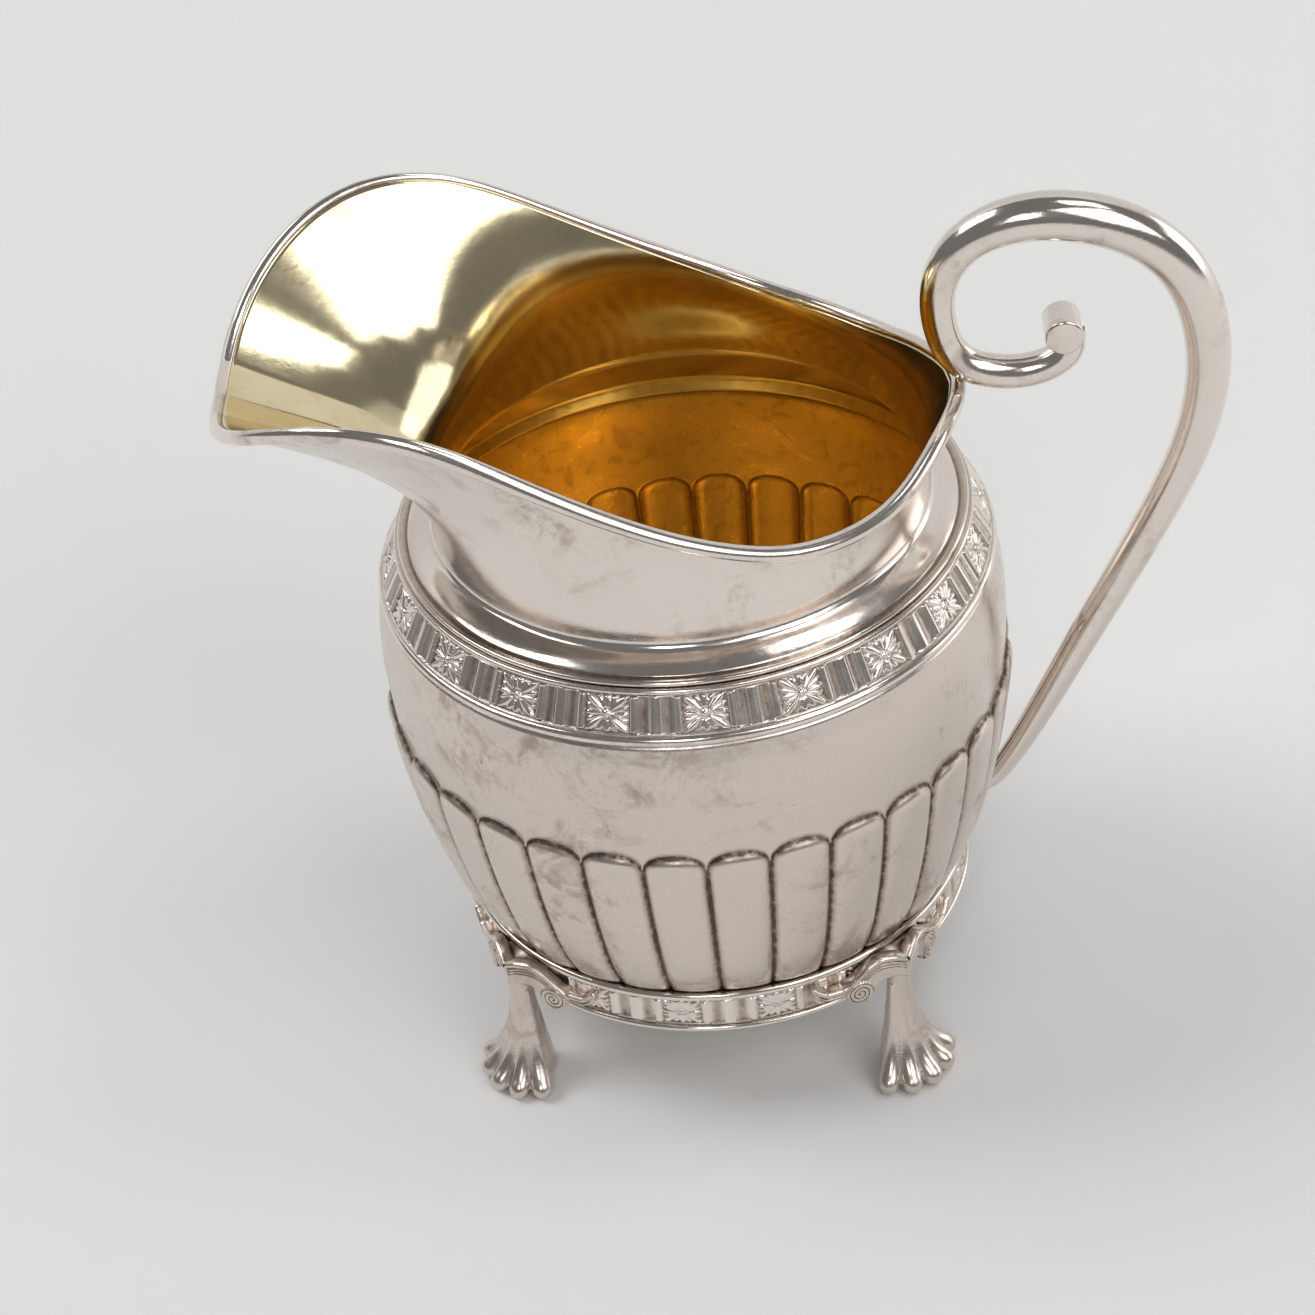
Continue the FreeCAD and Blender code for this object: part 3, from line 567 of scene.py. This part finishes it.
def make_eye():
    """Short round bar across the end of the scroll, with rounded edges."""
    half = 0.5 * EYE_LENGTH
    section = [(0.02, -half), (1.2, -half - 0.02), (EYE_R - 0.35, -half), (EYE_R - 0.12, -half + 0.06),
               (EYE_R, -half + 0.25)]
    section += [(EYE_R, y) for y in np.linspace(-half + 0.6, half - 0.6, 9)]
    section += [(r, -y) for r, y in section[4::-1]]
    sides = 96
    turn = 2.0 * math.pi * np.arange(sides) / sides
    rows = [np.stack([EYE_X + r * np.cos(turn), np.full(sides, y), EYE_Z + r * np.sin(turn)], -1)
            for r, y in section]
    return new_mesh("scroll_eye_bar", rows, grid_faces(len(section), sides, wrap_columns=True))


# ---- feet ----
WING_ANGLE = math.radians(21.0)  # crease to wing tip, seen from the body's axis
PLATE = 1.3                      # thickness of a wing
ENGRAVED = (1.35, 1.85, 2.35)    # lines below a wing's upper edge
# Upper and lower edge of a wing: share of its length from the crease, height from RING_MID.
WING_TOP = [(0.0, 1.9), (0.12, 2.6), (0.26, 2.9), (0.40, 2.2), (0.55, 0.6), (0.70, -0.5), (0.82, -0.5),
            (0.92, 0.4), (1.0, 1.8)]
WING_LOW = [(0.0, -2.2), (0.12, -1.6), (0.24, -1.5), (0.34, -2.5), (0.40, -3.9), (0.50, -4.4), (0.60, -3.6),
            (0.66, -2.7), (0.78, -2.6), (0.90, -2.0), (1.0, -0.6)]


def turned(points, degrees):
    """Points turned about the body's axis."""
    angle = math.radians(degrees)
    spin = np.array([[math.cos(angle), math.sin(angle), 0.0], [-math.sin(angle), math.cos(angle), 0.0],
                     [0.0, 0.0, 1.0]])
    return np.asarray(points, float).reshape(-1, 3) @ spin


def wing_relief(a, below, x, b):
    """Height of a wing's front over its plate: flange, engraved lines and spiral."""
    flange = 0.5 * np.sqrt(np.clip(1.0 - ((below - 0.45) / 0.55) ** 2, 0.0, 1.0))
    lines = np.zeros_like(a)
    for depth in ENGRAVED:
        lines = np.maximum(lines, np.exp(-((below - depth) / 0.11) ** 2))
    across, up = x, b + 2.45
    radius = np.hypot(across, up)
    whorl = (radius / 0.62 - np.arctan2(up, across) / (2.0 * math.pi)) % 1.0
    in_spiral = np.clip((2.05 - radius) * 6.0, 0.0, 1.0)
    spiral = np.exp(-((whorl - 0.5) / 0.16) ** 2)
    engraved = lines * (1.0 - in_spiral) * np.clip((0.95 - a) * 20, 0, 1) + spiral * in_spiral
    boss = 0.30 * in_spiral
    return np.maximum(flange, boss) - 0.16 * engraved, engraved


def wing_points(side):
    """One wing (side 1 or -1) of a bracket that faces +X: points, faces and darkening (tarnish in its lines,
    painted shade over its back).
    """
    length_steps, height_steps = 190, 64
    tip_r = RING_R + 0.5
    crease = np.array([KNEE_R, 0.0])
    tip = np.array([tip_r * math.cos(WING_ANGLE), tip_r * math.sin(WING_ANGLE)])
    length = np.linalg.norm(tip - crease)
    along = (tip - crease) / length
    inward = np.array([-along[1], along[0]])
    a = np.linspace(0.0, 1.0, length_steps)
    top, low = smooth_table(WING_TOP, a), smooth_table(WING_LOW, a)
    middle, half = 0.5 * (top + low), 0.5 * (top - low)
    round_end = np.sqrt(np.clip(1.0 - np.clip((a - 0.93) / 0.07, 0.0, 1.0) ** 2, 0.0, 1.0))
    half = np.maximum(half * round_end, 0.02)
    front, rear, marks = [], [], []
    for t in np.linspace(-1.0, 1.0, height_steps):
        b = middle + t * half
        below = middle + half - b
        relief, engraved = wing_relief(a, below, (a - 0.5) * length, b)
        edge = np.minimum(half * (1.0 - abs(t)), 0.4) / 0.4
        soft = 0.30 * (1.0 - np.sqrt(1.0 - (1.0 - edge) ** 2))
        out = relief - soft
        xy = crease[None] + along[None] * (a * length)[:, None] - inward[None] * out[:, None]
        front.append(np.stack([xy[:, 0], xy[:, 1], RING_MID + b], -1))
        xy = crease[None] + along[None] * (a * length)[:, None] + inward[None] * (PLATE - soft)[:, None]
        rear.append(np.stack([xy[:, 0], xy[:, 1], RING_MID + b], -1))
        marks.append(np.maximum(engraved, np.exp(-np.abs(below - 1.05) / 0.16) * 0.8))
    grid = np.array(front + rear[::-1])
    grid[:, :, 1] *= side
    # The whole back of the wing gets a flat 0.6: painted shade between the wing and the ring.
    marks = np.array(marks + [np.full(length_steps, 0.6)] * height_steps)
    faces = grid_faces(len(grid), length_steps, wrap_rows=True)
    return grid.reshape(-1, 3), faces if side < 0 else faces[:, ::-1], marks.ravel()


def make_bracket(name, degrees):
    """Two wings and the small shelf that ties their crease to the ring."""
    wings = [wing_points(side) for side in (1.0, -1.0)]
    low = RING_MID + 0.8
    outline = [(KNEE_R - 0.6, 0.0), (KNEE_R - 3.0, 2.9), (FOOT_R + 0.1, 2.9), (FOOT_R + 0.1, -2.9),
               (KNEE_R - 3.0, -2.9)]
    shelf = np.array([(x, y, z) for z in (low, low + 1.0) for x, y in outline])
    shelf_faces = [[4, 3, 2, 1, 0], [5, 6, 7, 8, 9]]
    shelf_faces += [[k, (k + 1) % 5, 5 + (k + 1) % 5, 5 + k] for k in range(5)]
    points, faces = joined([(part, quads) for part, quads, _ in wings] + [(shelf, shelf_faces)])
    bracket = new_mesh(name, turned(points, degrees), faces)
    # The shelf gets a flat 0.6 as well: painted shade on the bracket's top between the wings and the ring.
    # The wings' values hold tarnish in their lines and painted shade on their backs.
    tarnish_and_painted_shade = [marks for _, _, marks in wings] + [np.full(len(shelf), 0.6)]
    add_values(bracket, "groove", np.concatenate(tarnish_and_painted_shade))
    return bracket


# Poles of a shin and a toe: out from PAW_R (a toe's in shares of its reach), share of the height up
# to the ring, radius (a toe's as a share of TOE_R).
SHIN = [(0.75, 1.29, 1.5), (0.75, 1.2, 1.55), (0.7, 1.0, 1.65), (0.5, 0.75, 1.9), (0.3, 0.5, 2.2),
        (0.2, 0.3, 2.6), (0.1, 0.15, 2.9), (0.1, 0.02, 2.9)]
TOE = [(0.24, 1.02, 0.36), (0.25, 0.88, 0.48), (0.28, 0.70, 0.60), (0.37, 0.49, 0.76), (0.52, 0.31, 0.90),
       (0.72, 0.185, 0.98), (0.90, 0.11, 1.04), (1.03, 0.085, 1.0), (1.13, 0.075, 0.80), (1.19, 0.07, 0.40)]
TOE_REACH, TOE_R, TOE_FAN = 6.5, 1.5, 58.0


def make_paw(name, degrees):
    """Shin, heel and five toes joined into one skin with soft furrows."""
    limbs = [(rod_grid([(PAW_R + x, z * RING_LOW, r) for x, z, r in SHIN], 40, 32), 0.0)]
    toe = rod_grid([(PAW_R + x * TOE_REACH, z * RING_LOW, r * TOE_R) for x, z, r in TOE], 48, 24)
    limbs += [(toe, fan) for fan in np.linspace(-TOE_FAN, TOE_FAN, 5)]
    middle = np.array([PAW_R, 0.0, 0.0])
    parts = []
    for grid, fan in limbs:
        part, quads = capped(grid, grid_faces(*grid.shape[:2], wrap_columns=True)[:, ::-1])
        parts.append((turned(part - middle, fan) + middle, quads))
    points, faces = joined(parts)
    paw = new_mesh(name, turned(points, degrees), faces)
    skin = paw.modifiers.new("skin", "REMESH")
    skin.mode = "VOXEL"
    skin.voxel_size = 0.16 * MM
    soften = paw.modifiers.new("soften", "SMOOTH")
    soften.iterations = 3
    soften.factor = 0.5
    view = bpy.context.evaluated_depsgraph_get()
    mesh = bpy.data.meshes.new_from_object(paw.evaluated_get(view))
    paw.modifiers.clear()
    paw.data = mesh
    for vertex in mesh.vertices:
        vertex.co.z = max(vertex.co.z, 0.0)
    mesh.polygons.foreach_set("use_smooth", [True] * len(mesh.polygons))
    mark_hollows(paw, 2.2e-4, 3)
    return paw


# ---- materials ----
def clear_nodes(name):
    """New material with nothing but a Principled shader in it."""
    material = bpy.data.materials.new(name)
    material.use_nodes = True
    tree = material.node_tree
    tree.nodes.clear()
    out = tree.nodes.new("ShaderNodeOutputMaterial")
    shader = tree.nodes.new("ShaderNodeBsdfPrincipled")
    tree.links.new(shader.outputs[0], out.inputs[0])
    return material, tree, shader


def plug(tree, socket, value):
    """Feeds a socket from another socket or with a constant."""
    if isinstance(value, bpy.types.NodeSocket):
        tree.links.new(value, socket)
    else:
        socket.default_value = value


def place_node(tree, stretch=(1.0, 1.0, 1.0)):
    """Object coordinates, stretched per axis."""
    coords = tree.nodes.new("ShaderNodeTexCoord")
    mapping = tree.nodes.new("ShaderNodeMapping")
    mapping.inputs["Scale"].default_value = stretch
    tree.links.new(coords.outputs["Object"], mapping.inputs["Vector"])
    return mapping.outputs[0]


def noise_node(tree, place, scale, detail=4.0, rough=0.55, warp=0.0):
    """Noise with about scale lumps to the metre."""
    node = tree.nodes.new("ShaderNodeTexNoise")
    tree.links.new(place, node.inputs["Vector"])
    node.inputs["Scale"].default_value = scale
    node.inputs["Detail"].default_value = detail
    node.inputs["Roughness"].default_value = rough
    node.inputs["Distortion"].default_value = warp
    return node.outputs["Fac"]


def ramp_node(tree, value, low, high, start=0.0, end=1.0):
    """Maps low..high to start..end, clamped."""
    node = tree.nodes.new("ShaderNodeMapRange")
    node.interpolation_type = "SMOOTHSTEP"
    plug(tree, node.inputs["Value"], value)
    for name, number in (("From Min", low), ("From Max", high), ("To Min", start), ("To Max", end)):
        node.inputs[name].default_value = number
    return node.outputs["Result"]


def math_node(tree, kind, a, b):
    node = tree.nodes.new("ShaderNodeMath")
    node.operation = kind
    plug(tree, node.inputs[0], a)
    plug(tree, node.inputs[1], b)
    return node.outputs[0]


def mix_node(tree, share, a, b):
    """Colour between a and b."""
    node = tree.nodes.new("ShaderNodeMix")
    node.data_type = "RGBA"
    plug(tree, node.inputs[0], share)
    plug(tree, node.inputs[6], a if isinstance(a, bpy.types.NodeSocket) else (*a, 1.0))
    plug(tree, node.inputs[7], b if isinstance(b, bpy.types.NodeSocket) else (*b, 1.0))
    return node.outputs[2]


def attribute_node(tree, name):
    node = tree.nodes.new("ShaderNodeAttribute")
    node.attribute_name = name
    return node.outputs["Fac"]


def bump_node(tree, shader, height, strength, distance):
    node = tree.nodes.new("ShaderNodeBump")
    node.inputs["Strength"].default_value = strength
    node.inputs["Distance"].default_value = distance
    plug(tree, node.inputs["Height"], height)
    tree.links.new(node.outputs[0], shader.inputs["Normal"])


BRIGHT = (0.82, 0.75, 0.69)
DULL = (0.72, 0.64, 0.58)
BLOOM = (0.50, 0.41, 0.36)
TARNISH = (0.44, 0.35, 0.29)
DARK = (0.075, 0.055, 0.040)
GILT_DEEP = (0.95, 0.65, 0.20)
GILT_PALE = (0.88, 0.76, 0.50)
GILT_STAIN = (0.34, 0.17, 0.05)
GILT_DIRT = (0.16, 0.08, 0.025)
SCRATCH_DEPTH = 0.04 * MM


def make_silver(name, base, rough, bloom, tarnish_and_shade_strength):
    """Silver with clouds of tarnish, fine scratches, dark tarnish in its hollows and painted shade where the
    groove values carry it.
    """
    material, tree, shader = clear_nodes(name)
    place = place_node(tree)
    clouds = noise_node(tree, place, 55.0, 6.0, 0.62, 0.8)
    patches = noise_node(tree, place, 140.0, 8.0, 0.70, 1.2)
    specks = noise_node(tree, place, 900.0, 3.0, 0.6)
    cloud = ramp_node(tree, clouds, 0.46, 0.66)
    patch = ramp_node(tree, patches, 0.47, 0.62)
    speck = ramp_node(tree, specks, 0.45, 0.75)
    veil = math_node(tree, "MULTIPLY", math_node(tree, "MULTIPLY", cloud, patch), bloom)
    dusty = math_node(tree, "MULTIPLY", math_node(tree, "MULTIPLY", speck, cloud), 0.5 * bloom)
    colour = mix_node(tree, veil, base, BLOOM)
    colour = mix_node(tree, dusty, colour, TARNISH)
    # Groove values darken the colour: tarnish in hollows, engraving and joins, and painted shade on the
    # backs and shelves of the brackets.
    tarnish_and_painted_shade = attribute_node(tree, "groove")
    ragged = math_node(tree, "MULTIPLY", tarnish_and_painted_shade, ramp_node(tree, specks, 0.2, 0.75, 0.75, 1.25))
    colour = mix_node(tree, ramp_node(tree, ragged, 0.10, 0.55, 0.0, 0.75 * tarnish_and_shade_strength), colour, TARNISH)
    colour = mix_node(tree, ramp_node(tree, ragged, 0.50, 0.95, 0.0, 0.92 * tarnish_and_shade_strength), colour, DARK)
    plug(tree, shader.inputs["Base Color"], colour)
    shader.inputs["Metallic"].default_value = 1.0
    worn = ramp_node(tree, patches, 0.3, 0.7, rough * 0.8, rough * 1.35)
    worn = math_node(tree, "ADD", worn, math_node(tree, "MULTIPLY", veil, 0.18))
    worn = math_node(tree, "ADD", worn, math_node(tree, "MULTIPLY", tarnish_and_painted_shade, 0.25 * tarnish_and_shade_strength))
    plug(tree, shader.inputs["Roughness"], worn)
    lines = noise_node(tree, place_node(tree, (1.0, 1.0, 14.0)), 420.0, 4.0, 0.6)
    fine = noise_node(tree, place, 2600.0, 2.0, 0.5)
    height = math_node(tree, "ADD", lines, math_node(tree, "MULTIPLY", fine, 0.5))
    bump_node(tree, shader, height, 0.25, SCRATCH_DEPTH)
    return material


def make_gilt(name, rough, deep, stains):
    """Gilding over silver: deep and satin in the bowl, pale and bright in the lip."""
    material, tree, shader = clear_nodes(name)
    place = place_node(tree)
    clouds = noise_node(tree, place, 60.0, 6.0, 0.6, 0.9)
    patches = noise_node(tree, place, 210.0, 7.0, 0.68, 1.4)
    colour = mix_node(tree, ramp_node(tree, clouds, 0.4, 0.7), deep, tuple(0.86 * c for c in deep))
    stain = math_node(tree, "MULTIPLY", ramp_node(tree, patches, 0.52, 0.66), stains)
    colour = mix_node(tree, stain, colour, GILT_STAIN)
    tarnish_and_painted_shade = ramp_node(tree, attribute_node(tree, "groove"), 0.3, 0.95, 0.0, 0.75)
    colour = mix_node(tree, tarnish_and_painted_shade, colour, GILT_DIRT)
    plug(tree, shader.inputs["Base Color"], colour)
    shader.inputs["Metallic"].default_value = 1.0
    plug(tree, shader.inputs["Roughness"], ramp_node(tree, patches, 0.3, 0.7, rough * 0.85, rough * 1.25))
    bump_node(tree, shader, noise_node(tree, place, 700.0, 4.0, 0.6), 0.2, SCRATCH_DEPTH)
    return material


def make_plain(name, colour, rough):
    """Matt paper with hardly any mottle."""
    material, tree, shader = clear_nodes(name)
    place = place_node(tree)
    tone = ramp_node(tree, noise_node(tree, place, 3.0, 3.0), 0.3, 0.7)
    shade = mix_node(tree, tone, colour, tuple(0.985 * c for c in colour))
    plug(tree, shader.inputs["Base Color"], shade)
    shader.inputs["Roughness"].default_value = rough
    return material


polished = make_silver("silver_polished", BRIGHT, 0.11, 0.8, 0.8)
satin = make_silver("silver_satin", DULL, 0.22, 1.0, 1.0)
milled = make_silver("silver_milled", BRIGHT, 0.18, 0.5, 1.0)
cast = make_silver("silver_cast", DULL, 0.24, 0.7, 1.0)
gilt_bowl = make_gilt("gilt_bowl", 0.30, GILT_DEEP, 0.3)
gilt_lip = make_gilt("gilt_lip", 0.12, GILT_PALE, 0.12)


def two_faced(piece, inner_rows, columns, outside, inside):
    """Outside and inside materials on a grid, split by rows."""
    piece.data.materials.append(outside)
    piece.data.materials.append(inside)
    rows = len(piece.data.polygons) // columns
    index = np.repeat(inner_rows[:rows].astype(np.int32), columns)
    piece.data.polygons.foreach_set("material_index", index)


def settle(piece, nodes):
    """Ties a piece to the frame in place of its CAD nodes."""
    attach(piece, "root")
    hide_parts(*nodes)


bowl, bowl_inner, bowl_columns = make_bowl()
two_faced(bowl, bowl_inner, bowl_columns, satin, gilt_bowl)
settle(bowl, ["bowl"])

neck, neck_inner, neck_columns = make_neck()
two_faced(neck, neck_inner, neck_columns, polished, gilt_lip)
settle(neck, ["neck"])

rim = make_rim()
rim.data.materials.append(polished)
settle(rim, ["rim_wire"])

shoulder_band = make_band("shoulder_milled_band", LAP_R, BAND_R, BAND_LOW, BAND_HIGH, BAND_LEAN,
                          20, SHOULDER_RELIEF, 72, 64, SHOULDER_TURN, 0.47)
shoulder_band.data.materials.append(milled)
settle(shoulder_band, ["shoulder_band"])

base_low, base_high = (corner.z for corner in node_span("base_band"))
base_band = make_band("base_milled_band", FOOT_R, RING_R, base_low, base_high, 0.0,
                      17, BASE_RELIEF, 64, 48, BASE_TURN, 0.42)
base_band.data.materials.append(milled)
settle(base_band, ["base_band"])

WIRE_COLUMNS = 480
fine_lean = 0.5 * (STRIP_IN - SHOULDER_R)
wires = {"shoulder_bead_lower": (LAP_R, 0.0), "shoulder_bead_middle": (STRIP_IN, fine_lean),
         "shoulder_bead_top": (STRIP_IN - fine_lean, fine_lean), "base_wire": (FOOT_R, 0.0),
         "base_bead": (FOOT_R, 0.0)}
for node, (back, lean) in wires.items():
    low, high = node_span(node)
    section = half_round(back, high.y, low.z, high.z, lean)
    wire = ring_piece(node + "_wire", section, WIRE_COLUMNS)
    heights = np.array([row[1] for row in section])
    away = np.abs(heights - 0.5 * (low.z + high.z)) / (0.5 * (high.z - low.z))
    add_values(wire, "groove", np.repeat(np.clip((away - 0.80) * 3.2, 0.0, 0.45), WIRE_COLUMNS))
    wire.data.materials.append(polished)
    settle(wire, [node])

handle = make_rod("handle_rod", HANDLE, 420, 72)
handle.data.materials.append(polished)
settle(handle, ["handle"])

eye = make_eye()
eye.data.materials.append(polished)
settle(eye, ["scroll_eye"])

for k in range(4):
    angle = 45.0 + FOOT_TURN + 90.0 * k
    bracket = make_bracket("bracket_scroll_%d" % (k + 1), angle)
    bracket.data.materials.append(cast)
    settle(bracket, ["bracket_%d" % (k + 1)])
    paw = make_paw("paw_foot_%d" % (k + 1), angle)
    paw.data.materials.append(cast)
    settle(paw, ["paw_%d" % (k + 1)])


# ---- stage ----
def make_stage():
    """Paper that lies under the jug and sweeps up behind it."""
    half, front, bend, top, radius = 1500.0, -1500.0, 450.0, 1400.0, 300.0
    line = [(front, 0.0), (0.0, 0.0), (bend, 0.0)]
    for k in range(1, 13):
        angle = 0.5 * math.pi * k / 12
        line.append((bend + radius * math.sin(angle), radius - radius * math.cos(angle)))
    line.append((bend + radius, top))
    points = [(x, y, z) for y, z in line for x in (-half, half)]
    paper = new_mesh("paper_sweep", points, grid_faces(len(line), 2))
    paper.data.materials.append(make_plain("white_paper", (0.80, 0.80, 0.79), 0.7))


def make_light(name, place, target, size, power, size_y):
    """Rectangular softbox that faces its target."""
    data = bpy.data.lights.new(name, "AREA")
    data.energy = power
    data.shape = "RECTANGLE"
    data.size = size
    data.size_y = size_y
    light = bpy.data.objects.new(name, data)
    bpy.context.scene.collection.objects.link(light)
    light.location = place
    light.rotation_euler = (Vector(target) - Vector(place)).to_track_quat("-Z", "Y").to_euler()


def make_world(strength):
    """Even white light from all round."""
    world = bpy.data.worlds.new("studio")
    world.use_nodes = True
    back = world.node_tree.nodes["Background"]
    back.inputs[0].default_value = (1.0, 1.0, 1.0, 1.0)
    back.inputs[1].default_value = strength
    bpy.context.scene.world = world


def make_camera():
    """Camera at the picture's height and angle; the jug is turned a little from square on."""
    focal_share = 2.5316        # focal length over picture width
    distance = 456.3
    rise = math.radians(38.4)
    swing = math.radians(4.0)
    roll = math.radians(-6.62)
    turn = Matrix.Rotation(swing, 3, "Z")
    forward = turn @ Vector((0.0, math.cos(rise), -math.sin(rise)))
    right = turn @ Vector((1.0, 0.0, 0.0))
    up = right.cross(forward)
    target = turn @ Vector((-5.5, 0.0, 0.0)) + Vector((AXIS_X, 0.0, RING_LOW + 37.2))
    axes = Matrix((right, up, -forward)).transposed() @ Matrix.Rotation(roll, 3, "Z")
    data = bpy.data.cameras.new("camera")
    data.sensor_width = 36.0
    data.lens = 36.0 * focal_share
    data.clip_end = 50.0
    camera = bpy.data.objects.new("camera", data)
    bpy.context.scene.collection.objects.link(camera)
    camera.matrix_world = Matrix.Translation((target - forward * distance) * MM) @ axes.to_4x4()
    bpy.context.scene.camera = camera


make_stage()
make_light("softbox_left", (-1.2, 0.2, 1.5), (0, 0, 0.06), 0.9, 13.0, 0.9)
make_light("softbox_right", (0.80, -0.80, 1.05), (0, 0, 0.1), 1.0, 7.0, 1.0)
make_light("softbox_front", (-0.2, -1.5, 1.2), (0, 0, 0.05), 0.4, 4.5, 0.6)
make_light("softbox_back", (1.10, 0.40, 0.33), (0, 0, 0.12), 1.1, 3.2, 0.6)
make_light("backdrop_wash", (0.7, 0.1, 1.7), (0.5, 0.8, 0.4), 0.6, 4.0, 0.5)
make_world(0.18)
make_camera()
bpy.context.scene.view_settings.view_transform = "Standard"
